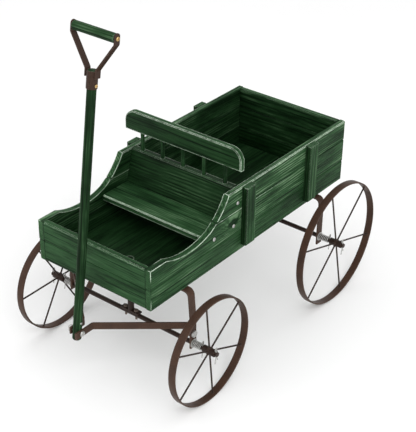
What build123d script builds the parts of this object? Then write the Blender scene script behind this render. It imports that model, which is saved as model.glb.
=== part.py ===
from build123d import *
import math
import os

# Decorative garden wagon: a plank body with a bench and a rear box, on a steered front truck and a
# fixed rear axle, drawn by a stick with a D grip.
# Millimetres. +X is the wagon's left-to-right width, +Y runs from the front to the rear, +Z is up.
# Z = 0 is the ground and X = 0 the middle plane. The sizes below count Y from the front end of the
# body; shift_y then moves the origin under the middle of the whole wagon.

# ---------------------------------------------------------------- body
box_inner_width = 216.0
body_length = 535.0
body_bottom = 198.0
board_t = 11.0
floor_t = 6.0
plank_chamfer = 1.5
low_plank_h = 38.0
mid_plank_h = 44.0
top_plank_h = 37.5
front_plank_h = 37.0

# Scooped top edge of each side: a flat at the front, a shallow arc, then a flank up to the shoulder.
scoop_start_y = 37.5
scoop_low_y = 86.0
scoop_low_h = 62.0
scoop_end_y = 145.0
scoop_end_h = 71.5
flank_mid_y = 171.0
flank_mid_h = 90.5
shoulder_y = 193.0

# Bench
seat_front_y = 139.5
seat_top_h = 61.0
seat_front_board_w = 32.0
back_top_y = 216.5
back_lean = 14.0

# Backrest
backrest_overhang = 14.5
backrest_h = 37.5
backrest_lift = 33.0
backrest_corner_r = 22.0
backrest_edge = 1.5
spindle_count = 5
spindle_inset = 20.0
spindle_r = 3.5
spindle_seat_depth = 6.0

# Battens
batten_w = 25.0
batten_t = 11.0
batten_lift = 10.5
batten_centres_y = (240.0, 422.5)
batten_edge = 1.2

# Side screws
screw_r = 1.8
screw_head_r = 3.4
screw_head_h = 1.6
screw_length = 27.0
seat_screw_y = 155.0
back_screw_heights = (56.0, 95.0)

# ---------------------------------------------------------------- running gear
front_wheel_r = 95.8
rear_wheel_r = 117.7
front_axle_y = 84.6
rear_axle_y = 455.0
wheel_plane_x = 167.5
rim_width = 13.5
rim_t = 2.6
spoke_r = 1.5
spoke_count = 6
spoke_turn = {"front_left": 0.0, "front_right": 36.0, "rear_left": 20.0, "rear_right": 43.0}
hub_r = 6.2
hub_length = 24.0
axle_r = 4.0
axle_tip_x = 184.0

strap_w = 14.0
strap_t = 3.0
strap_bend_r = 9.0
front_bracket_x = 134.6
front_bracket_splay = 4.5
front_knee_z = 142.0
rear_bracket_x = 131.6
front_leg_below_axle = 8.5
rear_leg_below_axle = 15.0
bracket_screw_from_joint = 1.0
bracket_screw_from_side = 13.0

washer_r = 8.0
washer_t = 1.2
spring_play = 0.5
spring_wire = 1.5
cotter_r = 1.2
cotter_length = 24.0
cotter_eye_r = 3.2

# King pin: a plate on the front axle, held by two bolts, with a post up to the strap and a pin
# through strap and floor whose head lies flush in the floor.
truck_gap = 1.2
king_washer_r = 15.0
king_post_r = 5.5
king_pin_r = 4.0
king_head_r = 7.5
king_head_h = 3.5
post_plate_length = 38.0
post_plate_w = 11.0
clamp_bolt_x = 11.5
clamp_bolt_r = 2.0
clamp_bolt_below = 5.0

# ---------------------------------------------------------------- drawbar and handle
arm_t = 3.0
arm_h = 12.0
arm_z = 131.0
arm_tip_y = -57.0
left_arm_shortfall = 7.0
arm_kink_y = -18.0
arm_tail_y = 81.0
arm_bend_r = 5.0
ear_half_w = 7.0
drawbar_bolt_z = 114.6
drawbar_bolt_r = 3.0

handle_bolt_y = -43.5
handle_bolt_r = 3.0
handle_lean = 8.17
stick_r = 7.4
stick_below_bolt = 15.0
stick_above_bolt = 434.0
stick_screw_up = 17.0

sleeve_length = 27.5
sleeve_wall = 1.2
sleeve_screw_up = 5.5
grip_bar_w = 11.0
grip_bar_t = 2.6
grip_bar_lap = 10.5
grip_bar_end_up = 8.0
grip_bar_kink_down = 9.0
grip_bar_bend_r = 4.0
grip_length = 81.0
grip_r = 7.3
grip_above_sleeve = 57.0

# ---------------------------------------------------------------- clearances
part_gap = 0.1
running_gap = 0.08
body_gap = 0.4

# ---------------------------------------------------------------- derived places
body_width = box_inner_width + 2 * board_t
side_h = low_plank_h + mid_plank_h + top_plank_h
body_top = body_bottom + side_h
front_h = 2 * front_plank_h
floor_top = body_bottom + floor_t
seat_top = body_bottom + seat_top_h
lean_slope = math.tan(math.radians(back_lean))
back_depth_y = board_t / math.cos(math.radians(back_lean))
spindle_y = back_top_y + back_depth_y / 2
spindle_pitch = (box_inner_width - 2 * spindle_inset) / (spindle_count - 1)
backrest_length = box_inner_width + 2 * backrest_overhang
bracket_screw_offsets = (
    box_inner_width / 6 - bracket_screw_from_joint,
    box_inner_width / 2 - bracket_screw_from_side,
)
spring_r = axle_r + spring_play + spring_wire
front_axle_z = front_wheel_r
rear_axle_z = rear_wheel_r
arm_x = stick_r + body_gap + arm_t / 2
ear_x = front_bracket_x - strap_t - body_gap - arm_t / 2
grip_bar_x = stick_r + part_gap + sleeve_wall + grip_bar_t / 2
grip_up = stick_above_bolt + grip_above_sleeve
grip_end_x = grip_length / 2
front_hub_x = wheel_plane_x - hub_length / 2
outer_cotter_x = wheel_plane_x + hub_length / 2 + body_gap + cotter_r
inner_cotter_x = front_hub_x - body_gap - cotter_r
shift_y = -(arm_tip_y + rear_axle_y + rear_wheel_r) / 2

LEFT_RIGHT = (("left", -1), ("right", 1))


def save(name, *solids):
    """Write one node: its solids, moved to the wagon's own origin."""
    moved = [Pos(0, shift_y, 0) * solid for solid in solids]
    whole = moved[0] if len(moved) == 1 else Compound(children=moved)
    export_step(whole, f"parts/{name}.step")


def x_rod(radius, x0, x1, y, z):
    """A round rod along X between two places."""
    return Pos((x0 + x1) / 2, y, z) * Rot(0, 90, 0) * Cylinder(radius, abs(x1 - x0))


def z_rod(radius, z0, z1, x, y):
    """A round rod along Z between two heights."""
    return Pos(x, y, (z0 + z1) / 2) * Cylinder(radius, z1 - z0)


def bar_between(x0, x1, y0, y1, z0, z1):
    """A box given by its corners."""
    centre = Pos((x0 + x1) / 2, (y0 + y1) / 2, (z0 + z1) / 2)
    return centre * Box(abs(x1 - x0), abs(y1 - y0), abs(z1 - z0))


def long_plank(x0, x1, y0, y1, z0, z1, along, edge=plank_chamfer):
    """A board whose four long edges are chamfered."""
    board = bar_between(x0, x1, y0, y1, z0, z1)
    return chamfer(board.edges().filter_by(along), edge)


def flat_bar(path, start_plane, width, thickness):
    """A flat bar swept along a path of straight runs and bends."""
    return sweep(start_plane * Rectangle(thickness, width), path=path)


def hex_nut(flats, height, bore_r):
    """A hexagon nut standing on Z = 0."""
    blank = extrude(RegularPolygon(flats / 2, 6, major_radius=False), height)
    return blank - Cylinder(bore_r, 3 * height)


# ---------------------------------------------------------------- wooden body
def side_outline():
    """The outline of one side in the YZ plane, scooped in front of the seat."""
    front_top = body_bottom + front_h
    low = (scoop_low_y, body_bottom + scoop_low_h)
    scoop_end = (scoop_end_y, body_bottom + scoop_end_h)
    flank_mid = (flank_mid_y, body_bottom + flank_mid_h)
    shoulder = (shoulder_y, body_top)
    outline = [
        Line((0, body_bottom), (0, front_top)),
        Line((0, front_top), (scoop_start_y, front_top)),
        ThreePointArc((scoop_start_y, front_top), low, scoop_end),
        ThreePointArc(scoop_end, flank_mid, shoulder),
        Line(shoulder, (body_length, body_top)),
        Line((body_length, body_top), (body_length, body_bottom)),
        Line((body_length, body_bottom), (0, body_bottom)),
    ]
    return make_face(outline)


def seat_screw_places():
    """Where the side screws go: one at the seat board and two at the leaning back."""
    places = [(seat_screw_y, seat_top - board_t / 2)]
    for height in back_screw_heights:
        z = body_bottom + height
        places.append((back_face_y(z) + back_depth_y / 2, z))
    return places


def back_face_y(z):
    """Front face of the leaning seat back at a height."""
    return back_top_y - (body_top - z) * lean_slope


def screw_shanks(radius):
    """Round shapes for every side screw's shank, one for each side of the body."""
    reach = body_width / 2 - screw_length
    shanks = []
    for side in (-1, 1):
        for y, z in seat_screw_places():
            shanks.append(x_rod(radius, side * reach, side * (body_width / 2 + 1), y, z))
    return shanks


def drilled(board):
    """A board with the side screws' holes."""
    for shank in screw_shanks(screw_r + part_gap):
        board = board - shank
    return board


def side_planks(side):
    """The three planks of one side, as (name, solid) pairs."""
    inner = side * box_inner_width / 2
    outer = side * body_width / 2
    panel = Pos(min(inner, outer), 0, 0) * extrude(Plane.YZ * side_outline(), board_t)
    planks = []
    z = body_bottom
    for name, height in (("low", low_plank_h), ("mid", mid_plank_h), ("top", top_plank_h)):
        bar = long_plank(inner, outer, 0, body_length, z, z + height, Axis.Y)
        planks.append((name, drilled(bar & panel)))
        z += height
    return planks


def end_planks(y0, heights, names):
    """Planks between the two sides at the front or at the rear."""
    half = box_inner_width / 2
    planks = []
    z = body_bottom
    for name, height in zip(names, heights):
        planks.append((name, long_plank(-half, half, y0, y0 + board_t, z, z + height, Axis.X)))
        z += height
    return planks


def floor_boards():
    """Three floor boards side by side, with the king pin's countersunk hole in the middle one."""
    width = box_inner_width / 3
    hole = z_rod(king_pin_r + 2 * body_gap, body_bottom - 1, floor_top + 1, 0, front_axle_y)
    mouth = z_rod(king_head_r + body_gap, floor_top - body_gap, floor_top + 1, 0, front_axle_y)
    hole = hole + king_head(body_gap) + mouth
    boards = []
    for i, name in enumerate(("left", "mid", "right")):
        x0 = -box_inner_width / 2 + i * width
        board = bar_between(x0, x0 + width, board_t, body_length - board_t, body_bottom, floor_top)
        if name == "mid":
            board = board - hole
        boards.append((name, board - bracket_screw_holes()))
    return boards


def bracket_screw_holes():
    """Holes for the screws that hold the rear bracket to the floor."""
    holes = [
        z_rod(screw_r + part_gap, body_bottom - 2 * strap_t, floor_top + 1, side * x, rear_axle_y)
        for side in (-1, 1)
        for x in bracket_screw_offsets
    ]
    return Compound(children=holes)


def seat_boards():
    """Front and rear seat boards; the rear one is bevelled to meet the leaning back."""
    half = box_inner_width / 2
    z0 = seat_top - board_t
    split_y = seat_front_y + seat_front_board_w
    rear_y = back_face_y(seat_top)
    front = long_plank(-half, half, seat_front_y, split_y, z0, seat_top, Axis.X)
    section = Polyline(
        (split_y, z0),
        (back_face_y(z0), z0),
        (rear_y, seat_top),
        (split_y + plank_chamfer, seat_top),
        (split_y, seat_top - plank_chamfer),
        close=True,
    )
    rear = Pos(-half, 0, 0) * extrude(Plane.YZ * make_face(section), box_inner_width)
    return [("front", drilled(front)), ("rear", rear)]


def seat_back_planks():
    """Three leaning boards from the floor to the rim, the top one with sockets for the spindles."""
    half = box_inner_width / 2
    height = (body_top - floor_top) / 3
    planks = []
    for i, name in enumerate(("low", "mid", "top")):
        z0 = floor_top + i * height
        z1 = z0 + height
        c = plank_chamfer
        section = Polyline(
            (back_face_y(z0 + c), z0 + c),
            (back_face_y(z1 - c), z1 - c),
            (back_face_y(z1) + c, z1),
            (back_face_y(z1) + back_depth_y, z1),
            (back_face_y(z0) + back_depth_y, z0),
            (back_face_y(z0) + c, z0),
            close=True,
        )
        board = Pos(-half, 0, 0) * extrude(Plane.YZ * make_face(section), box_inner_width)
        if name == "top":
            board = board - spindle_set(part_gap)
        planks.append((name, drilled(board)))
    return planks


def spindle_set(extra):
    """The five spindles, or their sockets when extra is their clearance."""
    z0 = body_top - spindle_seat_depth
    z1 = body_top + backrest_lift + spindle_seat_depth
    first = -spindle_pitch * (spindle_count - 1) / 2
    spindles = [
        z_rod(spindle_r + extra, z0 - extra, z1 + extra, first + i * spindle_pitch, spindle_y)
        for i in range(spindle_count)
    ]
    return Compound(children=spindles)


def backrest_board():
    """The backrest above the spindles, with its two top corners rounded."""
    z0 = body_top + backrest_lift
    y0 = spindle_y - board_t / 2
    board = bar_between(-backrest_length / 2, backrest_length / 2, y0, y0 + board_t, z0, z0 + backrest_h)
    top_corners = board.edges().filter_by(Axis.Y).group_by(Axis.Z)[-1]
    board = fillet(top_corners, min(backrest_corner_r, backrest_h - 1))
    faces = board.faces().filter_by(Axis.Y)
    board = chamfer([edge for face in faces for edge in face.edges()], backrest_edge)
    return board - spindle_set(part_gap)


def batten(side, centre_y):
    """An upright batten on the outside of a side."""
    x0 = side * body_width / 2
    x1 = x0 + side * batten_t
    y0 = centre_y - batten_w / 2
    z0 = body_bottom + batten_lift
    block = bar_between(x0, x1, y0, y0 + batten_w, z0, body_top)
    outer = block.faces().sort_by(Axis.X)[-1 if side > 0 else 0]
    return chamfer(outer.edges(), batten_edge)


def side_screws():
    """Pan-head screws through the sides."""
    screws = []
    for side in (-1, 1):
        face = side * body_width / 2
        for y, z in seat_screw_places():
            shank = x_rod(screw_r, side * (body_width / 2 - screw_length + 1), face, y, z)
            head = x_rod(screw_head_r, face, face + side * screw_head_h, y, z)
            screws.append(shank + head)
    return screws


# ---------------------------------------------------------------- wheels and axles
def wheel_rim(radius, side, y):
    """A flat iron rim."""
    ring = Cylinder(radius, rim_width) - Cylinder(radius - rim_t, rim_width + 1)
    return Pos(side * wheel_plane_x, y, radius) * Rot(0, 90, 0) * ring


def wheel_spider(radius, side, y, turn):
    """Hub tube and spokes, trimmed to the inside of the rim and turned by a few degrees."""
    spider = Cylinder(hub_r, hub_length)
    for i in range(spoke_count):
        arm = Pos(0, radius / 2, 0) * Rot(90, 0, 0) * Cylinder(spoke_r, radius)
        spider = spider + Rot(0, 0, turn + i * 360 / spoke_count) * arm
    spider = spider & Cylinder(radius - rim_t - part_gap / 2, 2 * hub_length)
    spider = spider - Cylinder(axle_r + running_gap, 2 * hub_length)
    return Pos(side * wheel_plane_x, y, radius) * Rot(0, 90, 0) * spider


def cotter_places(y, z):
    """Places of the four cotter pins on one axle."""
    return [Pos(side * x, y, z) for side in (-1, 1) for x in (inner_cotter_x, outer_cotter_x)]


def cotter_pins(y, z):
    """Cotter pins with their eye above the axle."""
    stem = Pos(0, 0, -cotter_length / 2 + axle_r + cotter_r) * Cylinder(cotter_r, cotter_length)
    eye = Pos(0, 0, axle_r + cotter_r + cotter_eye_r) * Rot(0, 90, 0) * Torus(cotter_eye_r, cotter_r)
    return [place * (stem + eye) for place in cotter_places(y, z)]


def axle(y, z):
    """A plain axle rod with cross holes for the cotter pins."""
    rod = x_rod(axle_r, -axle_tip_x, axle_tip_x, y, z)
    for place in cotter_places(y, z):
        rod = rod - place * Cylinder(cotter_r + part_gap, 4 * axle_r)
    return rod


def hub_washers(bracket_x, y, z):
    """The washers against the outside of the two legs."""
    rings = []
    for side in (-1, 1):
        x0 = side * (bracket_x + part_gap)
        ring = x_rod(washer_r, x0, x0 + side * washer_t, y, z)
        rings.append(ring - x_rod(axle_r + part_gap, x0 - side, x0 + 3 * side, y, z))
    return rings


def hub_springs(bracket_x, y, z):
    """The room that the two hub springs take up between washer and inner cotter pin."""
    springs = []
    for side in (-1, 1):
        x0 = side * (bracket_x + washer_t + 2 * part_gap)
        x1 = side * (inner_cotter_x - cotter_r - part_gap)
        coil = x_rod(spring_r, x0, x1, y, z)
        springs.append(coil - x_rod(spring_r - spring_wire, x0 - side, x1 + side, y, z))
    return springs


def u_bracket(leg, y, axle_z):
    """A strap bent into a U that hangs below the body, with holes for its axle.

    The leg lists the (x, z) points of the right leg's middle line from its foot to the strap's top face.
    """
    foot_x, foot_z = leg[0]
    top_x, top_z = leg[-1]
    middle = [*leg[:-1], (top_x, top_z - strap_t / 2)]
    points = [(-x, y, z) for x, z in middle] + [(x, y, z) for x, z in reversed(middle)]
    path = FilletPolyline(*points, radius=strap_bend_r)
    strap = flat_bar(path, Plane((-foot_x, y, foot_z), x_dir=(1, 0, 0), z_dir=(0, 0, 1)), strap_w, strap_t)
    return strap - x_rod(axle_r + part_gap, -2 * foot_x, 2 * foot_x, y, axle_z)


def rear_bracket():
    """The rear bracket, flat against the floor and drilled for its screws."""
    x = rear_bracket_x - strap_t / 2
    leg = ((x, rear_axle_z - rear_leg_below_axle), (x, body_bottom))
    return u_bracket(leg, rear_axle_y, rear_axle_z) - bracket_screw_holes()


def rear_bracket_screws():
    """Screws up through the rear bracket into the floor."""
    z0 = body_bottom - strap_t
    screws = []
    for side in (-1, 1):
        for x in bracket_screw_offsets:
            shank = z_rod(screw_r, z0, floor_top - part_gap, side * x, rear_axle_y)
            head = z_rod(screw_head_r, z0 - screw_head_h, z0, side * x, rear_axle_y)
            screws.append(shank + head)
    return screws


def drawbar_bolt_hole(radius):
    """The line of the two drawbar bolts, as one long rod."""
    reach = 2 * front_bracket_x
    return x_rod(radius, -reach, reach, front_axle_y, drawbar_bolt_z)


def front_bracket():
    """The front bracket, just below the floor so that it can turn, with a knee in each leg."""
    x = front_bracket_x - strap_t / 2
    top_z = body_bottom - truck_gap
    leg = ((x, front_axle_z - front_leg_below_axle), (x, front_knee_z), (x - front_bracket_splay, top_z))
    strap = u_bracket(leg, front_axle_y, front_axle_z)
    strap = strap - drawbar_bolt_hole(drawbar_bolt_r + part_gap)
    return strap - z_rod(king_pin_r + part_gap, top_z - 2 * strap_t, body_bottom, 0, front_axle_y)


def clamp_bolt_rods(radius, z0, z1):
    """The two clamp bolts' shanks beside the king post."""
    return [z_rod(radius, z0, z1, side * clamp_bolt_x, front_axle_y) for side in (-1, 1)]


def front_axle():
    """The front axle, drilled for the clamp bolts too."""
    rod = axle(front_axle_y, front_axle_z)
    for hole in clamp_bolt_rods(clamp_bolt_r + part_gap, front_axle_z - 10, front_axle_z + 10):
        rod = rod - hole
    return rod


def king_head(extra):
    """The king pin's countersunk head in the floor, or its seat when extra is the clearance."""
    z0 = floor_top - king_head_h - extra
    cone = Cone(king_pin_r + extra, king_head_r + extra, king_head_h)
    return Pos(0, front_axle_y, z0 + king_head_h / 2) * cone


def king_post():
    """Plate on the axle, post up to the strap, and a pin through the strap and the floor."""
    plate_z = front_axle_z + axle_r
    shoulder_z = body_bottom - truck_gap - strap_t
    half = post_plate_length / 2
    y0 = front_axle_y - post_plate_w / 2
    plate = bar_between(-half, half, y0, y0 + post_plate_w, plate_z, plate_z + strap_t)
    for hole in clamp_bolt_rods(clamp_bolt_r + part_gap, plate_z - 1, plate_z + 2 * strap_t):
        plate = plate - hole
    post = z_rod(king_post_r, plate_z + strap_t, shoulder_z, 0, front_axle_y)
    pin = z_rod(king_pin_r, shoulder_z, floor_top - king_head_h / 2, 0, front_axle_y)
    return plate + post + pin + king_head(0)


def king_washer():
    """A wide washer between the strap and the floor."""
    z0 = body_bottom - truck_gap
    washer = z_rod(king_washer_r, z0, body_bottom - body_gap, 0, front_axle_y)
    return washer - z_rod(king_pin_r + part_gap, z0 - 1, body_bottom, 0, front_axle_y)


def clamp_bolts():
    """The two bolts that hold the king post's plate to the axle."""
    top_z = front_axle_z + axle_r + strap_t
    bottom_z = front_axle_z - axle_r - clamp_bolt_below
    heads = [Pos(side * clamp_bolt_x, front_axle_y, top_z) for side in (-1, 1)]
    shanks = clamp_bolt_rods(clamp_bolt_r, bottom_z, top_z)
    return [shank + place * hex_nut(7.0, 3.0, 0.5 * clamp_bolt_r) for shank, place in zip(shanks, heads)]


def drawbar_bolts():
    """One bolt through each leg and drawbar ear, with a low head outside and a nut inside."""
    bolts = []
    ear_inner = ear_x - arm_t / 2
    for side in (-1, 1):
        shank = x_rod(drawbar_bolt_r, side * (ear_inner - 5), side * front_bracket_x, front_axle_y, drawbar_bolt_z)
        head_x = side * (front_bracket_x + 3)
        head = x_rod(2 * drawbar_bolt_r, side * front_bracket_x, head_x, front_axle_y, drawbar_bolt_z)
        nut_x = side * (ear_inner - body_gap)
        nut = x_rod(5.5, nut_x - side * 4, nut_x, front_axle_y, drawbar_bolt_z)
        bolts.append(shank + head + nut)
    return bolts


# ---------------------------------------------------------------- drawbar
def drawbar_arm(side):
    """A flat bar from the stick to a leg, ending in an ear that hangs down to its bolt."""
    tip_y = arm_tip_y if side > 0 else arm_tip_y + left_arm_shortfall
    points = [
        (side * arm_x, tip_y, arm_z),
        (side * arm_x, arm_kink_y, arm_z),
        (side * ear_x, arm_tail_y, arm_z),
        (side * ear_x, front_axle_y + ear_half_w, arm_z),
    ]
    path = FilletPolyline(*points, radius=arm_bend_r)
    start = Plane(points[0], x_dir=(1, 0, 0), z_dir=(0, 1, 0))
    arm = flat_bar(path, start, arm_h, arm_t)
    ear_top = arm_z + arm_h / 2
    inner = side * (ear_x - arm_t / 2)
    outer = side * (ear_x + arm_t / 2)
    y0 = arm_tail_y
    ear = bar_between(inner, outer, y0, front_axle_y + ear_half_w, drawbar_bolt_z, ear_top)
    low = bar_between(
        inner, outer, front_axle_y - ear_half_w, front_axle_y + ear_half_w, drawbar_bolt_z, arm_z - arm_h / 2
    )
    round_end = x_rod(ear_half_w, inner, outer, front_axle_y, drawbar_bolt_z)
    arm = arm + ear + low + round_end
    arm = arm - drawbar_bolt_hole(drawbar_bolt_r + running_gap)
    return arm - x_rod(handle_bolt_r + part_gap, -30, 30, handle_bolt_y, arm_z)


def handle_bolt():
    """The bolt on which the stick tilts: domed head on the right, nut on the left."""
    face = arm_x + arm_t / 2
    shank = x_rod(handle_bolt_r, -face - 7, face, handle_bolt_y, arm_z)
    head = x_rod(5.0, face, face + 2.6, handle_bolt_y, arm_z)
    head = fillet(head.edges().sort_by(Axis.X)[-1], 1.8)
    nut = Pos(-face, handle_bolt_y, arm_z) * Rot(0, -90, 0) * hex_nut(10.0, 5.0, 0.5 * handle_bolt_r)
    return shank + head + nut


# ---------------------------------------------------------------- stick and grip, drawn upright
def on_handle(solid):
    """Lean a solid drawn around an upright stick and put it on the handle bolt."""
    return Pos(0, handle_bolt_y, arm_z) * Rot(-handle_lean, 0, 0) * solid


def handle_stick():
    """A round stick with a rounded foot and the bolt's hole."""
    stick = z_rod(stick_r, -stick_below_bolt, stick_above_bolt, 0, 0)
    stick = fillet(stick.edges().filter_by(GeomType.CIRCLE).sort_by(Axis.Z)[0], 3.0)
    stick = stick - x_rod(handle_bolt_r + running_gap, -20, 20, 0, 0)
    for hole in handle_screw_shanks(screw_r + part_gap):
        stick = stick - hole
    return stick


def handle_screw_shanks(radius):
    """Shanks of the sleeve screw and of the small screw just above the drawbar."""
    places = (stick_screw_up, stick_above_bolt - sleeve_length + sleeve_screw_up)
    return [x_rod(radius, 2, stick_r + sleeve_wall + part_gap, 0, z) for z in places]


def handle_sleeve():
    """A rolled sleeve round the stick's top end."""
    z0 = stick_above_bolt - sleeve_length
    z1 = stick_above_bolt + part_gap
    bore_r = stick_r + part_gap
    sleeve = z_rod(bore_r + sleeve_wall, z0, z1, 0, 0) - z_rod(bore_r, z0 - 1, z1 + 1, 0, 0)
    return sleeve - handle_screw_shanks(screw_r + part_gap)[1]


def handle_screws():
    """The sleeve screw and the small stick screw."""
    screws = []
    faces = (stick_r, stick_r + part_gap + sleeve_wall)
    places = (stick_screw_up, stick_above_bolt - sleeve_length + sleeve_screw_up)
    heads = (2.0, 2.9)
    for face, z, head_r in zip(faces, places, heads):
        shank = x_rod(screw_r, 3, face, 0, z)
        screws.append(shank + x_rod(head_r, face, face + 1.4, 0, z))
    return screws


def grip_bar(side):
    """A flat bar from the sleeve's side out to the end of the grip."""
    outer_x = side * (grip_end_x + part_gap + grip_bar_t / 2)
    inner_x = side * grip_bar_x
    kink_z = grip_up - grip_bar_kink_down
    end_z = grip_up + grip_bar_end_up - grip_bar_w / 2
    points = [
        (inner_x, 0, stick_above_bolt - grip_bar_lap),
        (inner_x, 0, stick_above_bolt + 2),
        (outer_x, 0, kink_z),
        (outer_x, 0, end_z),
    ]
    path = FilletPolyline(*points, radius=grip_bar_bend_r)
    start = Plane(points[0], x_dir=(1, 0, 0), z_dir=(0, 0, 1))
    bar = flat_bar(path, start, grip_bar_w, grip_bar_t)
    low_x = outer_x - grip_bar_t / 2
    high_x = outer_x + grip_bar_t / 2
    end = x_rod(grip_bar_w / 2, low_x, high_x, 0, end_z)
    return (bar + end) - x_rod(screw_r + part_gap, -2 * grip_length, 2 * grip_length, 0, grip_up)


def hand_grip():
    """The turned grip between the two bars, with pilot holes for its screws."""
    grip = x_rod(grip_r, -grip_end_x, grip_end_x, 0, grip_up)
    grip = fillet(grip.edges().filter_by(GeomType.CIRCLE), 1.5)
    return grip - x_rod(screw_r + part_gap, -2 * grip_length, 2 * grip_length, 0, grip_up)


def grip_screws():
    """One brass screw through each bar into the grip."""
    screws = []
    face = grip_end_x + part_gap + grip_bar_t
    for side in (-1, 1):
        shank = x_rod(screw_r, side * (grip_end_x - 20), side * face, 0, grip_up)
        screws.append(shank + x_rod(screw_head_r, side * face, side * (face + screw_head_h), 0, grip_up))
    return screws


def save_body():
    """Every node of the plank body."""
    for side_name, side in LEFT_RIGHT:
        for name, plank in side_planks(side):
            save(f"side_plank_{side_name}_{name}", plank)
        for end, centre_y in zip(("front", "rear"), batten_centres_y):
            save(f"batten_{side_name}_{end}", batten(side, centre_y))
    for name, plank in end_planks(0, (front_plank_h, front_plank_h), ("low", "top")):
        save(f"front_plank_{name}", plank)
    rear_heights = (low_plank_h, mid_plank_h, top_plank_h)
    for name, plank in end_planks(body_length - board_t, rear_heights, ("low", "mid", "top")):
        save(f"rear_plank_{name}", plank)
    for name, board in floor_boards():
        save(f"floor_board_{name}", board)
    for name, board in seat_boards():
        save(f"seat_board_{name}", board)
    for name, board in seat_back_planks():
        save(f"seat_back_{name}", board)
    save("backrest_board", backrest_board())
    save("backrest_spindles", *spindle_set(0).solids())
    save("side_screws", *side_screws())


def save_running_gear():
    """Brackets, axles, king post and wheels."""
    save("rear_bracket", rear_bracket())
    save("rear_bracket_screws", *rear_bracket_screws())
    save("rear_axle", axle(rear_axle_y, rear_axle_z))
    save("front_bracket", front_bracket())
    save("front_axle", front_axle())
    save("king_post", king_post())
    save("king_washer", king_washer())
    save("axle_clamp_bolts", *clamp_bolts())
    save("drawbar_bolts", *drawbar_bolts())
    ends = (
        ("front", front_bracket_x, front_axle_y, front_axle_z),
        ("rear", rear_bracket_x, rear_axle_y, rear_axle_z),
    )
    for end, bracket_x, y, z in ends:
        save(f"{end}_hub_washers", *hub_washers(bracket_x, y, z))
        save(f"{end}_hub_springs", *hub_springs(bracket_x, y, z))
        save(f"{end}_cotter_pins", *cotter_pins(y, z))
        for side_name, side in LEFT_RIGHT:
            save(f"wheel_rim_{end}_{side_name}", wheel_rim(z, side, y))
            turn = spoke_turn[f"{end}_{side_name}"]
            save(f"wheel_spider_{end}_{side_name}", wheel_spider(z, side, y, turn))


def save_handle():
    """Drawbar, stick and grip."""
    for side_name, side in LEFT_RIGHT:
        save(f"drawbar_arm_{side_name}", drawbar_arm(side))
        save(f"grip_bar_{side_name}", on_handle(grip_bar(side)))
    save("handle_bolt", handle_bolt())
    save("handle_stick", on_handle(handle_stick()))
    save("handle_sleeve", on_handle(handle_sleeve()))
    save("handle_screws", *[on_handle(screw) for screw in handle_screws()])
    save("hand_grip", on_handle(hand_grip()))
    save("grip_screws", *[on_handle(screw) for screw in grip_screws()])


os.makedirs("parts", exist_ok=True)
save_body()
save_running_gear()
save_handle()
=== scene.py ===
import math

import bmesh
import bpy
from bpy.props import FloatProperty, FloatVectorProperty, IntProperty, PointerProperty
from mathutils import Matrix, Vector
from mathutils.bvhtree import BVHTree


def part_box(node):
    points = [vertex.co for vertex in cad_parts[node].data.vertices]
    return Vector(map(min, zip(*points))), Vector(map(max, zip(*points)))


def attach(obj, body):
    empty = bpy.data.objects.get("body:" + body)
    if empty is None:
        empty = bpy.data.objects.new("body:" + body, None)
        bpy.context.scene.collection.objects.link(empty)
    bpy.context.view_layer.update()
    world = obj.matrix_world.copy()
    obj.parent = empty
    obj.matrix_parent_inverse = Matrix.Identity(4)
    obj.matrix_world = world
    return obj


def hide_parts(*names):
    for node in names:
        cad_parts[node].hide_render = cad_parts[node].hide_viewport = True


bl_info = {
    "name": "Green Garden Wagon",
    "version": (1, 0, 0),
    "blender": (4, 5, 0),
    "location": "3D View > Sidebar > Wagon",
    "description": "Dresses a plank garden wagon with stained boards, iron wheels and a stick handle",
    "category": "Object",
}

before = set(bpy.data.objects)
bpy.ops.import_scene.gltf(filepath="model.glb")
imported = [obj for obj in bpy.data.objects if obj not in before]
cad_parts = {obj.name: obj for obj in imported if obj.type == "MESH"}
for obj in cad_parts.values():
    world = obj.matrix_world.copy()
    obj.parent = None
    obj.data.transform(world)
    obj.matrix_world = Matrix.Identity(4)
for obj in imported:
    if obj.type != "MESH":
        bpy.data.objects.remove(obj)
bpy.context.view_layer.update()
MM = 0.001
# The screw heads' radius and height, and a knot's place on a board that has none.
HEAD_R = 3.4 * MM
HEAD_H = 1.6 * MM
NOWHERE = (9.0, 9.0, 9.0)
# The camera's place, its turn about the upright, its height angle, its roll and its lens in millimetres.
CAMERA_PLACE = (1.06075, -1.33077, 1.23944)
CAMERA_TURN = math.radians(37.862)
CAMERA_RISE = math.radians(31.338)
CAMERA_ROLL = math.radians(0.724)
LENS = 95.76


# ---------------------------------------------------------------- what a user may change
def colour(name, description, value):
    """A colour setting, stored as scene-linear red, green and blue."""
    limits = {"subtype": "COLOR", "size": 3, "min": 0, "max": 1}
    return FloatVectorProperty(name=name, description=description, default=value, **limits)


def number(name, description, value, **limits):
    """A setting that isn't negative."""
    return FloatProperty(name=name, description=description, default=value, min=0, **limits)


def length(name, description, value):
    """A length setting in metres."""
    return number(name, description, value, unit="LENGTH", precision=5)


def angle(name, description, degrees):
    """An angle setting."""
    return number(name, description, math.radians(degrees), unit="ROTATION")


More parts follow.
